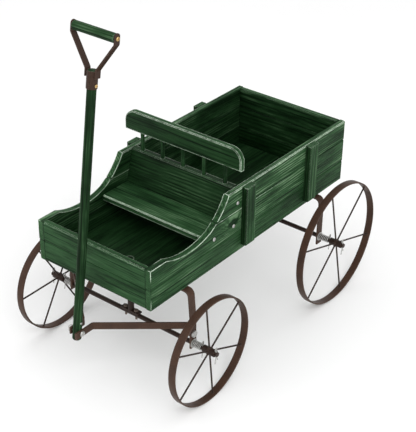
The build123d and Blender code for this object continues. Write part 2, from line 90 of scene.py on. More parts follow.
class WagonWood(bpy.types.PropertyGroup):
    """The stained and brushed boards."""

    groove: colour("Groove stain", "Stain lying in the grooves of the grain", (0.0045, 0.021, 0.006))
    body: colour("Body stain", "Main colour of the stain", (0.027, 0.080, 0.029))
    ridge: colour("Ridge stain", "Thin stain on top of the grain's ridges", (0.130, 0.225, 0.122))
    worn: colour("Worn edge", "Pale wood showing through on the edges", (0.66, 0.80, 0.64))
    seam: colour("Seam", "Stain and dirt gathered in the seams between boards", (0.003, 0.010, 0.004))
    ring_spacing: length("Ring spacing", "Distance between the grain's ridges", 0.0046)
    relief: length("Relief", "Height of the brushed grain", 0.0011)
    edge: length("Edge rounding", "Rounding of the boards' edges", 0.0006)
    worn_width: length("Worn width", "How far the wear reaches from an edge", 0.0023)


class WagonIron(bpy.types.PropertyGroup):
    """The painted ironwork."""

    paint: colour("Paint", "Rust-brown paint", (0.057, 0.027, 0.016))
    dark: colour("Dark iron", "Paint on the spokes and axles", (0.022, 0.012, 0.009))
    rubbed: colour("Rubbed edge", "Paint rubbed thin along the edges", (0.16, 0.105, 0.08))
    zinc: colour("Zinc", "Plated screws, springs and pins", (0.55, 0.55, 0.53))
    brass: colour("Brass", "Screws of the grip and the sleeve", (0.62, 0.44, 0.20))
    edge: length("Edge rounding", "Rounding of the straps' edges", 0.0006)
    small_edge: length("Small edge rounding", "Rounding of the bolts' and washers' edges", 0.00025)


class WagonWheels(bpy.types.PropertyGroup):
    """The four spoked wheels."""

    spoke_count: IntProperty(name="Spokes", description="Spokes in each wheel", default=6, min=3, max=16)
    spoke_radius: length("Spoke radius", "Radius of a spoke's round bar", 0.0015)
    weld_radius: length("Weld radius", "Radius of the weld at each end of a spoke", 0.0026)
    rim_thickness: length("Rim thickness", "Thickness of the flat iron rim", 0.0026)
    rim_edge: length("Rim edge", "Rounding of the rim's edges", 0.0006)
    hub_radius: length("Hub radius", "Radius of the hub tube", 0.0062)
    hub_bore: length("Hub bore", "Radius of the hub's bore", 0.00408)
    front_left_turn: angle("Front left turn", "Angle of the front left wheel's spokes", 0)
    front_right_turn: angle("Front right turn", "Angle of the front right wheel's spokes", 36)
    rear_left_turn: angle("Rear left turn", "Angle of the rear left wheel's spokes", 20)
    rear_right_turn: angle("Rear right turn", "Angle of the rear right wheel's spokes", 43)


class WagonWire(bpy.types.PropertyGroup):
    """Hub springs and split pins."""

    spring_wire: length("Spring wire", "Radius of the hub springs' wire", 0.00075)
    spring_turns: number("Turns", "Turns of each hub spring", 5.5, max=20)
    pin_wire: length("Pin wire", "Radius of the split pins' wire", 0.0008)


class WagonHandle(bpy.types.PropertyGroup):
    """The stick handle."""

    lean: angle("Lean", "How far the stick leans back from upright", 8.17)
    sleeve_wall: length("Sleeve wall", "Thickness of the sleeve", 0.0012)
    seam: length("Sleeve seam", "Width of the sleeve's open seam", 0.0008)


class WagonStage(bpy.types.PropertyGroup):
    """Floor, light and camera."""

    floor: colour("Floor", "Colour of the pale floor", (0.97, 0.97, 0.97))
    key: number("Key light", "Power of the key light", 42, unit="POWER")
    fill: number("Fill light", "Power of the fill light", 8, unit="POWER")
    sky: number("Sky", "Strength of the white surroundings", 0.92)


class WagonSettings(bpy.types.PropertyGroup):
    """All settings of the wagon."""

    wood: PointerProperty(type=WagonWood)
    iron: PointerProperty(type=WagonIron)
    wheels: PointerProperty(type=WagonWheels)
    wire: PointerProperty(type=WagonWire)
    handle: PointerProperty(type=WagonHandle)
    stage: PointerProperty(type=WagonStage)


# ---------------------------------------------------------------- node helpers
class Tree:
    """Adds nodes to a tree and wires them. A value given to a socket is a number or another socket."""

    def __init__(self, tree):
        self.tree = tree

    def add(self, kind, inputs=None, **settings):
        node = self.tree.nodes.new(kind)
        for key, value in settings.items():
            setattr(node, key, value)
        for key, value in (inputs or {}).items():
            self.put(value, node.inputs[key])
        return node

    def put(self, value, socket):
        if isinstance(value, bpy.types.NodeSocket):
            self.tree.links.new(value, socket)
        elif value is not None:
            socket.default_value = value

    def maths(self, operation, *values, clamp=False):
        """A Math node in shaders and geometry alike."""
        node = self.add("ShaderNodeMath", dict(enumerate(values)), operation=operation, use_clamp=clamp)
        return node.outputs[0]

    def plus(self, a, b, clamp=False):
        return self.maths("ADD", a, b, clamp=clamp)

    def minus(self, a, b):
        return self.maths("SUBTRACT", a, b)

    def times(self, a, b, clamp=False):
        return self.maths("MULTIPLY", a, b, clamp=clamp)

    def over(self, a, b):
        return self.maths("DIVIDE", a, b)

    def swing(self, value, size):
        """A value between 0 and 1 as a swing of this size about zero."""
        return self.times(self.minus(value, 0.5), size)

    def vector(self, operation, *values):
        node = self.add("ShaderNodeVectorMath", dict(enumerate(values)), operation=operation)
        return node.outputs["Value" if operation in ("DOT_PRODUCT", "LENGTH") else "Vector"]

    def mix(self, factor, a, b, blend="MIX"):
        """A colour mix."""
        node = self.add("ShaderNodeMix", {0: factor, 6: a, 7: b}, data_type="RGBA", blend_type=blend)
        return node.outputs[2]

    def span(self, value, low, high, to_low=0.0, to_high=1.0, smooth=False):
        """A clamped Map Range."""
        kind = "SMOOTHSTEP" if smooth else "LINEAR"
        inputs = {0: value, 1: low, 2: high, 3: to_low, 4: to_high}
        return self.add("ShaderNodeMapRange", inputs, interpolation_type=kind).outputs[0]

    def noise(self, position, scale, detail=3.0, roughness=0.55):
        inputs = {"Vector": position, "Scale": scale, "Detail": detail, "Roughness": roughness}
        return self.add("ShaderNodeTexNoise", inputs).outputs["Fac"]

    def read(self, attribute, output="Fac"):
        return self.add("ShaderNodeAttribute", attribute_name=attribute).outputs[output]

    def xyz(self, x, y, z):
        return self.add("ShaderNodeCombineXYZ", {0: x, 1: y, 2: z}).outputs[0]

    def parts(self, vector):
        return self.add("ShaderNodeSeparateXYZ", {0: vector}).outputs


def new_group(name, kind, inputs, outputs):
    """An empty node group. A number among its inputs is a default, and a word is the socket's kind."""
    group = bpy.data.node_groups.new(name, kind)
    for label, given in inputs.items():
        word = given if isinstance(given, str) else {int: "Int", float: "Float"}[type(given)]
        socket = group.interface.new_socket(label, in_out="INPUT", socket_type="NodeSocket" + word)
        if word != given:
            socket.default_value = given
    for label, word in outputs.items():
        group.interface.new_socket(label, in_out="OUTPUT", socket_type="NodeSocket" + word)
    tree = Tree(group)
    return tree, tree.add("NodeGroupInput").outputs, tree.add("NodeGroupOutput").inputs


def made_once(name):
    """Builds a node group the first time it is called for, and finds it by its name after that."""
    return lambda build: lambda: bpy.data.node_groups.get(name) or build(name)


def rgba(values, factor=1.0):
    """A colour, darker or lighter by a factor, as the four numbers that a socket takes."""
    return (*[factor * value for value in values], 1.0)


# ---------------------------------------------------------------- shared surface effects
@made_once("Brushed grain")
def brushed_grain(name):
    """Grain of a brushed and stained board, with its length along X: colour, height and dryness."""
    tree, given, out = new_group(
        name,
        "ShaderNodeTree",
        {
            "Position": "Vector",
            "Board": 0.0,
            "Relief": 1.0,
            "Spacing": 0.0046,
            "Groove": "Color",
            "Body": "Color",
            "Ridge": "Color",
            "Knot": "Vector",
        },
        {"Color": "Color", "Height": "Float", "Dryness": "Float"},
    )
    shift = tree.xyz(*[tree.times(given["Board"], step) for step in (1.37, 0.71, 0.43)])
    x, y, z = tree.parts(tree.vector("ADD", given["Position"], shift))

    def drawn_out(along, across, detail=2.0, roughness=0.55):
        """Noise drawn out along the board."""
        place = tree.xyz(tree.times(x, along), tree.times(y, across), tree.times(z, across))
        return tree.noise(place, 1.0, detail, roughness)

    # The rings wander slowly along the board and close into flames where the heart came near the face.
    across = tree.plus(tree.plus(y, tree.times(z, 0.55)), tree.swing(drawn_out(2.2, 9), 0.030))
    # A knot pushes the rings aside and is darker than the wood round it.
    from_knot = tree.vector("SUBTRACT", given["Position"], given["Knot"])
    knot_far = tree.vector("LENGTH", tree.vector("MULTIPLY", from_knot, (0.5, 1.0, 1.0)))
    knot = tree.span(knot_far, 0.0035, 0.0085, 1.0, 0.0, smooth=True)
    across = tree.plus(across, tree.times(tree.span(knot_far, 0.0, 0.022, 1.0, 0.0, smooth=True), 0.016))
    phase = tree.plus(tree.over(across, given["Spacing"]), tree.times(drawn_out(14, 260), 1.1))
    ring = tree.span(tree.maths("SINE", tree.times(phase, math.tau)), -0.7, 0.9, smooth=True)
    fibre = drawn_out(34, 1300, 4.0, 0.65)
    streak = drawn_out(7, 190, 3.0, 0.6)
    cloud = drawn_out(9, 26, 3.0)
    # Ridges come and go in patches, and a board with little relief shows mostly its clouds.
    patch = tree.times(tree.span(cloud, 0.34, 0.62, smooth=True), given["Relief"], clamp=True)
    ridge = tree.times(ring, tree.plus(0.35, tree.times(patch, 0.65)))
    height = tree.plus(tree.times(ridge, 0.55), tree.times(fibre, 0.42))
    height = tree.times(height, tree.plus(0.35, tree.times(given["Relief"], 0.65)))
    calm = tree.plus(0.45, tree.times(given["Relief"], 0.65), clamp=True)
    streak = tree.plus(0.5, tree.swing(streak, calm))
    tone = tree.plus(tree.times(ring, tree.times(patch, 0.34)), tree.times(streak, 0.62))
    tone = tree.plus(tree.plus(tone, tree.swing(cloud, 0.55)), tree.swing(fibre, 0.62))
    hair = tree.times(tree.span(drawn_out(5, 430), 0.56, 0.66, smooth=True), 0.42)
    tone = tree.minus(tree.minus(tone, hair), tree.times(knot, 0.55))
    dark = tree.span(tone, 0.12, 0.42, smooth=True)
    light = tree.span(tone, 0.40, 0.74, smooth=True)
    tree.put(tree.mix(light, tree.mix(dark, given["Groove"], given["Body"]), given["Ridge"]), out["Color"])
    tree.put(height, out["Height"])
    tree.put(light, out["Dryness"])
    return tree.tree


@made_once("Worn edges")
def worn_edges(name):
    """Two masks along edges: Edge is whole, and Mask is broken up so that the wear isn't even."""
    tree, given, out = new_group(
        name,
        "ShaderNodeTree",
        {"Position": "Vector", "Width": 0.001, "Breaks": 60.0, "Amount": 1.0},
        {"Mask": "Float", "Edge": "Float"},
    )
    rounded = tree.add("ShaderNodeBevel", {"Radius": given["Width"]}, samples=6).outputs[0]
    true = tree.add("ShaderNodeNewGeometry").outputs["Normal"]
    turn = tree.minus(1.0, tree.vector("DOT_PRODUCT", rounded, true))
    edge = tree.span(turn, 0.008, 0.06, smooth=True)
    breaks = tree.noise(given["Position"], given["Breaks"], 3.0, 0.6)
    kept = tree.span(breaks, 0.34, 0.56, 0.30, 1.0, smooth=True)
    mask = tree.times(tree.times(edge, kept), given["Amount"], clamp=True)
    tree.put(mask, out["Mask"])
    tree.put(edge, out["Edge"])
    return tree.tree


@made_once("Mottled paint")
def mottled_paint(name):
    """Brushed-on iron paint: cloudy colour, fine pits and uneven gloss."""
    tree, given, out = new_group(
        name,
        "ShaderNodeTree",
        {"Position": "Vector", "Paint": "Color", "Deep": "Color", "Gloss": 0.45},
        {"Color": "Color", "Roughness": "Float", "Height": "Float"},
    )
    cloud = tree.noise(given["Position"], 45.0, 4.0, 0.6)
    speck = tree.noise(given["Position"], 900.0, 2.0, 0.5)
    pits = tree.span(tree.noise(given["Position"], 420.0, 3.0, 0.6), 0.55, 0.72, smooth=True)
    tone = tree.mix(tree.span(cloud, 0.32, 0.68, 0.0, 0.55), given["Paint"], given["Deep"])
    tone = tree.mix(tree.times(pits, 0.5), tone, given["Deep"])
    tree.put(tree.mix(tree.span(speck, 0.4, 0.8, 0.0, 0.12), tone, (0.22, 0.17, 0.14, 1)), out["Color"])
    tree.put(tree.plus(given["Gloss"], tree.swing(cloud, 0.35)), out["Roughness"])
    tree.put(tree.minus(tree.times(speck, 0.35), tree.times(pits, 0.6)), out["Height"])
    return tree.tree


def new_material(name):
    """An empty material with its tree, its Principled surface and the piece's own coordinates."""
    material = bpy.data.materials.new(name)
    material.use_nodes = True
    material.node_tree.nodes.clear()
    tree = Tree(material.node_tree)
    surface = tree.add("ShaderNodeBsdfPrincipled")
    output = tree.add("ShaderNodeOutputMaterial")
    tree.put(surface.outputs[0], output.inputs[0])
    position = tree.add("ShaderNodeTexCoord").outputs["Object"]
    return material, tree, surface.inputs, position


def use_group(tree, group, **inputs):
    """Place a node group and return its outputs; underscores in the names stand for spaces."""
    node = tree.add("ShaderNodeGroup", node_tree=group)
    for key, value in inputs.items():
        tree.put(value, node.inputs[key.replace("_", " ")])
    return node.outputs


def grain_first(tree, along, vector):
    """A vector's parts in the order that puts the grain's direction first."""
    x, y, z = tree.parts(vector)
    return tree.xyz(*{"X": (x, y, z), "Y": (y, z, x), "Z": (z, x, y)}[along])


def bumpy(tree, surface, height, distance, strength):
    """Give the surface a bump."""
    values = {"Height": height, "Distance": distance, "Strength": strength}
    tree.put(tree.add("ShaderNodeBump", values).outputs[0], surface["Normal"])


def wood_material(name, wood, along, lean=0.0):
    """Stained wood whose grain runs along X, Y or Z, or along an upright that leans back."""
    if name in bpy.data.materials:
        return bpy.data.materials[name]
    material, tree, surface, position = new_material(name)
    here = position
    if lean:
        turn = {"Vector": position, "Angle": lean}
        here = tree.add("ShaderNodeVectorRotate", turn, rotation_type="X_AXIS").outputs[0]
    painted_shade_and_stain, free = tree.read("painted_shade_and_stain"), tree.read("free_edge")
    grain = use_group(
        tree,
        brushed_grain(),
        Position=grain_first(tree, along, here),
        Board=tree.read("board"),
        Relief=tree.read("relief"),
        Spacing=wood.ring_spacing,
        Groove=rgba(wood.groove),
        Body=rgba(wood.body),
        Ridge=rgba(wood.ridge),
        Knot=grain_first(tree, along, tree.read("knot", "Vector")),
    )
    amount = tree.times(tree.read("wear"), tree.span(free, 0.35, 0.75, smooth=True))
    reach = {"Width": wood.worn_width, "Breaks": 70.0, "Amount": amount}
    wear = use_group(tree, worn_edges(), Position=position, **reach)
    # End grain takes the stain more evenly, so its rings are faint.
    normal = tree.add("ShaderNodeNewGeometry").outputs["True Normal"]
    ends = {"X": (1, 0, 0), "Y": (0, 1, 0), "Z": (0, math.sin(lean), math.cos(lean))}[along]
    facing = tree.maths("ABSOLUTE", tree.vector("DOT_PRODUCT", normal, ends))
    end = tree.span(facing, 0.75, 0.95, 0.0, 0.55)
    stained = tree.mix(end, grain["Color"], rgba(wood.body))
    # The attribute paints shade into the stain, darkening it towards deep green on faces that lie in shade,
    # such as the inner faces of the box, and on some parts it also stands for a darker stain; the seams
    # gather dark stain.
    shade_and_stain_tint = tree.mix(painted_shade_and_stain, (1.0, 1.0, 1.0, 1.0), (0.10, 0.21, 0.11, 1.0))
    stained = tree.mix(1.0, stained, shade_and_stain_tint, "MULTIPLY")
    narrow = tree.span(wear["Edge"], 0.20, 0.80, smooth=True)
    closed = tree.times(narrow, tree.span(free, 0.10, 0.45, 0.9, 0.0))
    stained = tree.mix(closed, stained, rgba(wood.seam))
    # Worn edges are dimmed where the painted shade lies.
    keep = tree.times(wear["Mask"], tree.minus(1.0, tree.times(painted_shade_and_stain, 0.6)))
    tree.put(tree.mix(keep, stained, rgba(wood.worn)), surface["Base Color"])
    tree.put(tree.span(grain["Dryness"], 0.0, 1.0, 0.55, 0.75), surface["Roughness"])
    bumpy(tree, surface, grain["Height"], wood.relief, 1.0)
    surface["Specular IOR Level"].default_value = 0.08
    return material


def iron_material(name, iron, paint, gloss=0.45, wear=0.5):
    """Painted iron, rubbed thin along its edges, in this colour."""
    if name in bpy.data.materials:
        return bpy.data.materials[name]
    material, tree, surface, position = new_material(name)
    colours = {"Paint": rgba(paint), "Deep": rgba(iron.dark)}
    mottle = use_group(tree, mottled_paint(), Position=position, Gloss=gloss, **colours)
    edge = use_group(tree, worn_edges(), Position=position, Width=0.0011, Breaks=150.0, Amount=wear)
    tree.put(tree.mix(edge["Mask"], mottle["Color"], rgba(iron.rubbed)), surface["Base Color"])
    tree.put(mottle["Roughness"], surface["Roughness"])
    bumpy(tree, surface, mottle["Height"], 0.00012, 0.8)
    surface["Specular IOR Level"].default_value = 0.14
    return material


def plated_material(name, tint, dull):
    """Bright plated metal with fine scratches and a little grime."""
    if name in bpy.data.materials:
        return bpy.data.materials[name]
    material, tree, surface, position = new_material(name)
    grime = tree.span(tree.noise(position, 380.0, 3.0, 0.6), 0.42, 0.70, 0.0, 0.55, smooth=True)
    tree.put(tree.mix(grime, rgba(tint), rgba(tint, 0.45)), surface["Base Color"])
    tree.put(tree.span(grime, 0.0, 0.55, dull, dull + 0.3), surface["Roughness"])
    scratch = tree.noise(tree.vector("MULTIPLY", position, (900, 5000, 900)), 1.0, 2.0)
    bumpy(tree, surface, scratch, 0.00003, 0.5)
    surface["Metallic"].default_value = 1.0
    return material


def rust_brown(iron):
    """The paint of the rims, the brackets and the drawbar."""
    return iron_material("rust-brown iron", iron, iron.paint)


def grip_brown(iron):
    """The darker paint of the sleeve and the grip's bars."""
    return iron_material("rust-brown iron of the grip", iron, rgba(iron.paint, 0.6)[:3])


def dark_bar(iron):
    """The paint of the axles, the king post and the spokes."""
    return iron_material("dark iron bar", iron, iron.dark, 0.38, 0.35)


def zinc_plate(iron):
    """The plating of the screws, bolts, washers, springs and pins."""
    return plated_material("zinc plate", iron.zinc, 0.34)


# ---------------------------------------------------------------- mesh helpers
def show(name, mesh, body, slot, replaced, material=None):
    """Put a finished mesh in the scene as a piece of the wagon."""
    if material:
        mesh.materials.clear()
        mesh.materials.append(material)
    piece = bpy.data.objects.new(name, mesh)
    bpy.context.scene.collection.objects.link(piece)
    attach(piece, body)
    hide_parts(*replaced)
    return piece


def baked(holder):
    """The mesh that an object's modifiers make of it; the object is removed."""
    graph = bpy.context.evaluated_depsgraph_get()
    mesh = bpy.data.meshes.new_from_object(
        holder.evaluated_get(graph), preserve_all_data_layers=True, depsgraph=graph
    )
    bpy.data.objects.remove(holder)
    return mesh


def held(name, mesh):
    """A mesh on a temporary object, ready for modifiers."""
    holder = bpy.data.objects.new(name, mesh)
    bpy.context.scene.collection.objects.link(holder)
    return holder


def merged_copy(node):
    """A CAD node as an editable closed mesh with its flat faces joined up."""
    shape = bmesh.new()
    shape.from_mesh(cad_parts[node].data)
    bmesh.ops.remove_doubles(shape, verts=shape.verts, dist=1e-6)
    bmesh.ops.dissolve_limit(shape, angle_limit=math.radians(0.5), verts=shape.verts, edges=shape.edges)
    return shape


def surface_tree(node):
    """A search tree over a CAD node's surface."""
    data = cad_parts[node].data
    return BVHTree.FromPolygons([v.co for v in data.vertices], [tuple(f.vertices) for f in data.polygons])


def softened(node, width, cuts=""):
    """A CAD node with its edges rounded, and cut across 3 mm inside its ends along the axis in cuts."""
    shape = merged_copy(node)
    low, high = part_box(node)
    for axis in cuts:
        number = "XYZ".index(axis)
        across = Vector([1.0 if i == number else 0.0 for i in range(3)])
        for place in (low + 3 * MM * across, high - 3 * MM * across):
            everything = [*shape.verts, *shape.edges, *shape.faces]
            bmesh.ops.bisect_plane(shape, geom=everything, dist=1e-6, plane_co=place, plane_no=across)
    for face in shape.faces:
        face.smooth = True
    mesh = bpy.data.meshes.new(node + "_soft")
    shape.to_mesh(mesh)
    shape.free()
    holder = held(node + "_soft", mesh)
    bevel = holder.modifiers.new("Rounding", "BEVEL")
    bevel.width = width
    bevel.segments = 2
    bevel.limit_method = "ANGLE"
    bevel.angle_limit = math.radians(28)
    bevel.use_clamp_overlap = True
    normals = holder.modifiers.new("Normals", "WEIGHTED_NORMAL")
    normals.keep_sharp = True
    return baked(holder)


def islands(node):
    """The lowest and highest corner of each separate solid of a CAD node."""
    shape = bmesh.new()
    shape.from_mesh(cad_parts[node].data)
    bmesh.ops.remove_doubles(shape, verts=shape.verts, dist=1e-6)
    left = set(shape.verts)
    boxes = []
    while left:
        stack = [left.pop()]
        low = high = stack[0].co
        while stack:
            vert = stack.pop()
            low = Vector(map(min, low, vert.co))
            high = Vector(map(max, high, vert.co))
            near = {edge.other_vert(vert) for edge in vert.link_edges} & left
            left -= near
            stack.extend(near)
        boxes.append((low, high))
    shape.free()
    return sorted(boxes, key=lambda box: tuple(round(c, 5) for c in box[0]))


def bridge(shape, rings, closed=False):
    """Join rings of corners by faces. A ring of one corner closes to a point."""
    pairs = list(zip(rings, rings[1:]))
    if closed:
        pairs.append((rings[-1], rings[0]))
    for low, high in pairs:
        sides = max(len(low), len(high))
        for i in range(sides):
            j = (i + 1) % sides
            corners = (low[i % len(low)], low[j % len(low)], high[j % len(high)], high[i % len(high)])
            shape.faces.new(list(dict.fromkeys(corners)))


def smooth_mesh(name, shape, sharp=None):
    """The mesh of a closed shape: facing outward and smooth, but for edges sharper than some degrees."""
    bmesh.ops.recalc_face_normals(shape, faces=shape.faces)
    for face in shape.faces:
        face.smooth = True
    mesh = bpy.data.meshes.new(name)
    shape.to_mesh(mesh)
    shape.free()
    if sharp:
        mesh.set_sharp_from_angle(angle=math.radians(sharp))
    return mesh


def turned(profile, sides, closed=False):
    """A shape turned about Z from (radius, height) points."""
    shape = bmesh.new()
    rings = []
    for radius, height in profile:
        turns = [math.tau * i / sides for i in range(sides)] if radius > 1e-7 else [0.0]
        rings.append([shape.verts.new((radius * math.cos(t), radius * math.sin(t), height)) for t in turns])
    bridge(shape, rings, closed)
    return smooth_mesh("turned", shape, 50)


def rounded(radius, height, edge, steps=4):
    """Half of a turned profile's corner: from the rim of a flat top round to its side."""
    return [
        (
            radius - edge + edge * math.sin(math.pi / 2 * i / steps),
            height - edge + edge * math.cos(math.pi / 2 * i / steps),
        )
        for i in range(steps + 1)
    ]


def wire_mesh(points, radius, sides=10):
    """A round wire along points, with capped ends."""
    shape = bmesh.new()
    rings = []
    normal = None
    for i, point in enumerate(points):
        before = points[max(i - 1, 0)]
        after = points[min(i + 1, len(points) - 1)]
        along = (Vector(after) - Vector(before)).normalized()
        normal = normal or along.orthogonal().normalized()
        normal = (normal - along * normal.dot(along)).normalized()
        side = along.cross(normal)
        ring = []
        for k in range(sides):
            turn = math.tau * k / sides
            out = normal * math.cos(turn) + side * math.sin(turn)
            ring.append(shape.verts.new(Vector(point) + radius * out))
        rings.append(ring)
    bridge(shape, rings)
    shape.faces.new(rings[0])
    shape.faces.new(rings[-1])
    return smooth_mesh("wire", shape)


def mark_wood(mesh, board, relief, painted_shade_and_stain, wear=0.6, free=lambda point: 1.0, knot=NOWHERE):
    """Store what the wood's material reads. The rule for the painted shade and darker stain looks at each
    face, and the free rule at each corner.
    """
    count = len(mesh.vertices)
    corners = {"board": [board] * count, "relief": [relief] * count, "wear": [wear] * count}
    corners["free_edge"] = [free(vertex.co) for vertex in mesh.vertices]
    for name, values in corners.items():
        mesh.attributes.new(name, "FLOAT", "POINT").data.foreach_set("value", values)
    mesh.attributes.new("knot", "FLOAT_VECTOR", "POINT").data.foreach_set("vector", list(knot) * count)
    painted_shades_and_stains = [painted_shade_and_stain(face.normal) for face in mesh.polygons]
    mesh.attributes.new("painted_shade_and_stain", "FLOAT", "FACE").data.foreach_set("value", painted_shades_and_stains)


# ---------------------------------------------------------------- geometry node trees
def set_input(modifier, name, value):
    """Set a geometry nodes modifier's input by the identifier of its socket."""
    for item in modifier.node_group.interface.items_tree:
        if item.item_type == "SOCKET" and item.in_out == "INPUT" and item.name == name:
            modifier[item.identifier] = value
            return
    raise KeyError(f"{modifier.node_group.name} has no input {name}")


def grown(name, group, values, mesh=None):
    """The mesh that a geometry nodes group makes with these inputs."""
    holder = held(name, mesh or bpy.data.meshes.new(name))
    modifier = holder.modifiers.new("Shape", "NODES")
    modifier.node_group = group
    for key, value in values.items():
        set_input(modifier, key, value)
    return baked(holder)


def realized(tree, geometry, material):
    """Realize the instances and set the material, as the last steps of a tree."""
    real = tree.add("GeometryNodeRealizeInstances", {0: geometry}).outputs[0]
    return tree.add("GeometryNodeSetMaterial", {"Geometry": real, "Material": material}).outputs[0]


def moved(tree, geometry, place=None, turn=None):
    """Geometry turned about the origin, then moved."""
    inputs = {"Geometry": geometry, "Translation": place, "Rotation": turn}
    inputs = {key: value for key, value in inputs.items() if value is not None}
    return tree.add("GeometryNodeTransform", inputs).outputs[0]


def joined(tree, parts):
    """Several geometries as one, in their order."""
    join = tree.add("GeometryNodeJoinGeometry")
    for part in reversed(parts):
        tree.put(part, join.inputs[0])
    return join.outputs[0]


def ring_of(tree, radius, thickness, width, edge, steps):
    """A flat ring round Z: a rounded rectangle swept along a circle."""
    circle = {"Resolution": steps, "Radius": radius}
    circle = tree.add("GeometryNodeCurvePrimitiveCircle", circle).outputs[0]
    section = {"Width": thickness, "Height": width}
    section = tree.add("GeometryNodeCurvePrimitiveQuadrilateral", section).outputs[0]
    corner = {"Curve": section, "Count": 3, "Radius": edge}
    fillet = tree.add("GeometryNodeFilletCurve", corner, mode="POLY")
    sweep = {"Curve": circle, "Profile Curve": fillet.outputs[0]}
    return tree.add("GeometryNodeCurveToMesh", sweep).outputs[0]


def spread_round(tree, instance, count, radius, scale=None):
    """Copies of an instance on a circle round Z, each with its own Z pointing outwards."""
    circle = tree.add("GeometryNodeMeshCircle", {"Vertices": count, "Radius": radius}).outputs[0]
    outward = tree.add("GeometryNodeInputPosition").outputs[0]
    turn = tree.add("FunctionNodeAlignRotationToVector", {"Vector": outward}, axis="Z").outputs[0]
    inputs = {"Points": circle, "Instance": instance, "Rotation": turn}
    if scale:
        inputs["Scale"] = scale
    return tree.add("GeometryNodeInstanceOnPoints", inputs).outputs[0]


@made_once("Spoked wheel")
def wheel_group(name):
    """A spoked wheel: flat rim, hub tube, spokes and a weld at each end of every spoke."""
    tree, given, out = new_group(
        name,
        "GeometryNodeTree",
        {
            "Radius": 0.1,
            "Rim width": 0.0135,
            "Rim thickness": 0.0026,
            "Rim edge": 0.0006,
            "Hub radius": 0.0062,
            "Hub bore": 0.00408,
            "Hub length": 0.024,
            "Spokes": 6,
            "Spoke radius": 0.0015,
            "Weld radius": 0.0026,
            "Turn": 0.0,
            "Centre": "Vector",
            "Rim material": "Material",
            "Spoke material": "Material",
        },
        {"Geometry": "Geometry"},
    )
    half_rim = tree.times(given["Rim thickness"], 0.5)
    rim_middle = tree.minus(given["Radius"], half_rim)
    rim = ring_of(tree, rim_middle, given["Rim thickness"], given["Rim width"], given["Rim edge"], 144)
    wall = tree.minus(given["Hub radius"], given["Hub bore"])
    wall_middle = tree.plus(given["Hub bore"], tree.times(wall, 0.5))
    hub = ring_of(tree, wall_middle, wall, given["Hub length"], tree.times(wall, 0.25), 36)
    inner = tree.minus(given["Radius"], given["Rim thickness"])
    start = tree.minus(given["Hub radius"], tree.times(wall, 0.4))
    reach = tree.minus(tree.plus(inner, tree.times(half_rim, 0.5)), start)
    half = tree.plus(start, tree.times(reach, 0.5))
    size = {"Vertices": 14, "Side Segments": 1, "Radius": given["Spoke radius"], "Depth": reach}
    bar = tree.add("GeometryNodeMeshCylinder", size).outputs["Mesh"]
    spokes = spread_round(tree, bar, given["Spokes"], half)
    size = {"Radius": given["Weld radius"], "Subdivisions": 3}
    bead = tree.add("GeometryNodeMeshIcoSphere", size).outputs["Mesh"]
    flat = (1.0, 1.0, 0.55)
    outer_welds = spread_round(tree, bead, given["Spokes"], inner, flat)
    inner_welds = spread_round(tree, bead, given["Spokes"], given["Hub radius"], flat)
    # The rim is told apart by an attribute, so that both materials can be set at the tree's end.
    values = {"Geometry": rim, "Name": "is_rim", "Value": True}
    store = tree.add("GeometryNodeStoreNamedAttribute", values, data_type="BOOLEAN", domain="FACE")
    rim = store.outputs[0]
    whole = joined(tree, [rim, hub, spokes, outer_welds, inner_welds])
    # The wheel is drawn round Z. Its first spoke is then turned from +Y towards +Z, about an axle along X.
    first = tree.plus(given["Turn"], math.pi / 2)
    aimed = moved(tree, whole, turn=tree.xyz(0.0, 0.0, first))
    stood = moved(tree, aimed, turn=(0.0, math.pi / 2, 0.0))
    placed = moved(tree, stood, place=given["Centre"])
    smooth = tree.add("GeometryNodeSetShadeSmooth", {"Geometry": placed}).outputs[0]
    painted = realized(tree, smooth, given["Spoke material"])
    is_rim = tree.add("GeometryNodeInputNamedAttribute", {"Name": "is_rim"}, data_type="BOOLEAN").outputs[0]
    values = {"Geometry": painted, "Selection": is_rim, "Material": given["Rim material"]}
    tree.put(tree.add("GeometryNodeSetMaterial", values).outputs[0], out["Geometry"])
    return tree.tree


@made_once("Hub springs")
def spring_group(name):
    """Two wire coils on one axle, mirrored about its middle."""
    tree, given, out = new_group(
        name,
        "GeometryNodeTree",
        {
            "Start": 0.13,
            "Length": 0.018,
            "Coil radius": 0.006,
            "Wire radius": 0.00075,
            "Turns": 5.5,
            "Centre": "Vector",
            "Material": "Material",
        },
        {"Geometry": "Geometry"},
    )
    mean = tree.minus(given["Coil radius"], given["Wire radius"])
    rise = tree.minus(given["Length"], tree.times(given["Wire radius"], 2.0))
    size = {"Rotations": given["Turns"], "Start Radius": mean, "End Radius": mean, "Height": rise}
    coil = tree.add("GeometryNodeCurveSpiral", {"Resolution": 28, **size}).outputs[0]
    size = {"Resolution": 8, "Radius": given["Wire radius"]}
    section = tree.add("GeometryNodeCurvePrimitiveCircle", size).outputs[0]
    sweep = {"Curve": coil, "Profile Curve": section, "Fill Caps": True}
    wire = tree.add("GeometryNodeCurveToMesh", sweep).outputs[0]
    lying = moved(tree, wire, turn=(0.0, math.pi / 2, 0.0))
    start = tree.xyz(tree.plus(given["Start"], given["Wire radius"]), 0.0, 0.0)
    right = moved(tree, lying, place=start)
    left = moved(tree, right, turn=(0.0, 0.0, math.pi))
    both = moved(tree, joined(tree, [right, left]), place=given["Centre"])
    smooth = tree.add("GeometryNodeSetShadeSmooth", {"Geometry": both}).outputs[0]
    tree.put(realized(tree, smooth, given["Material"]), out["Geometry"])
    return tree.tree


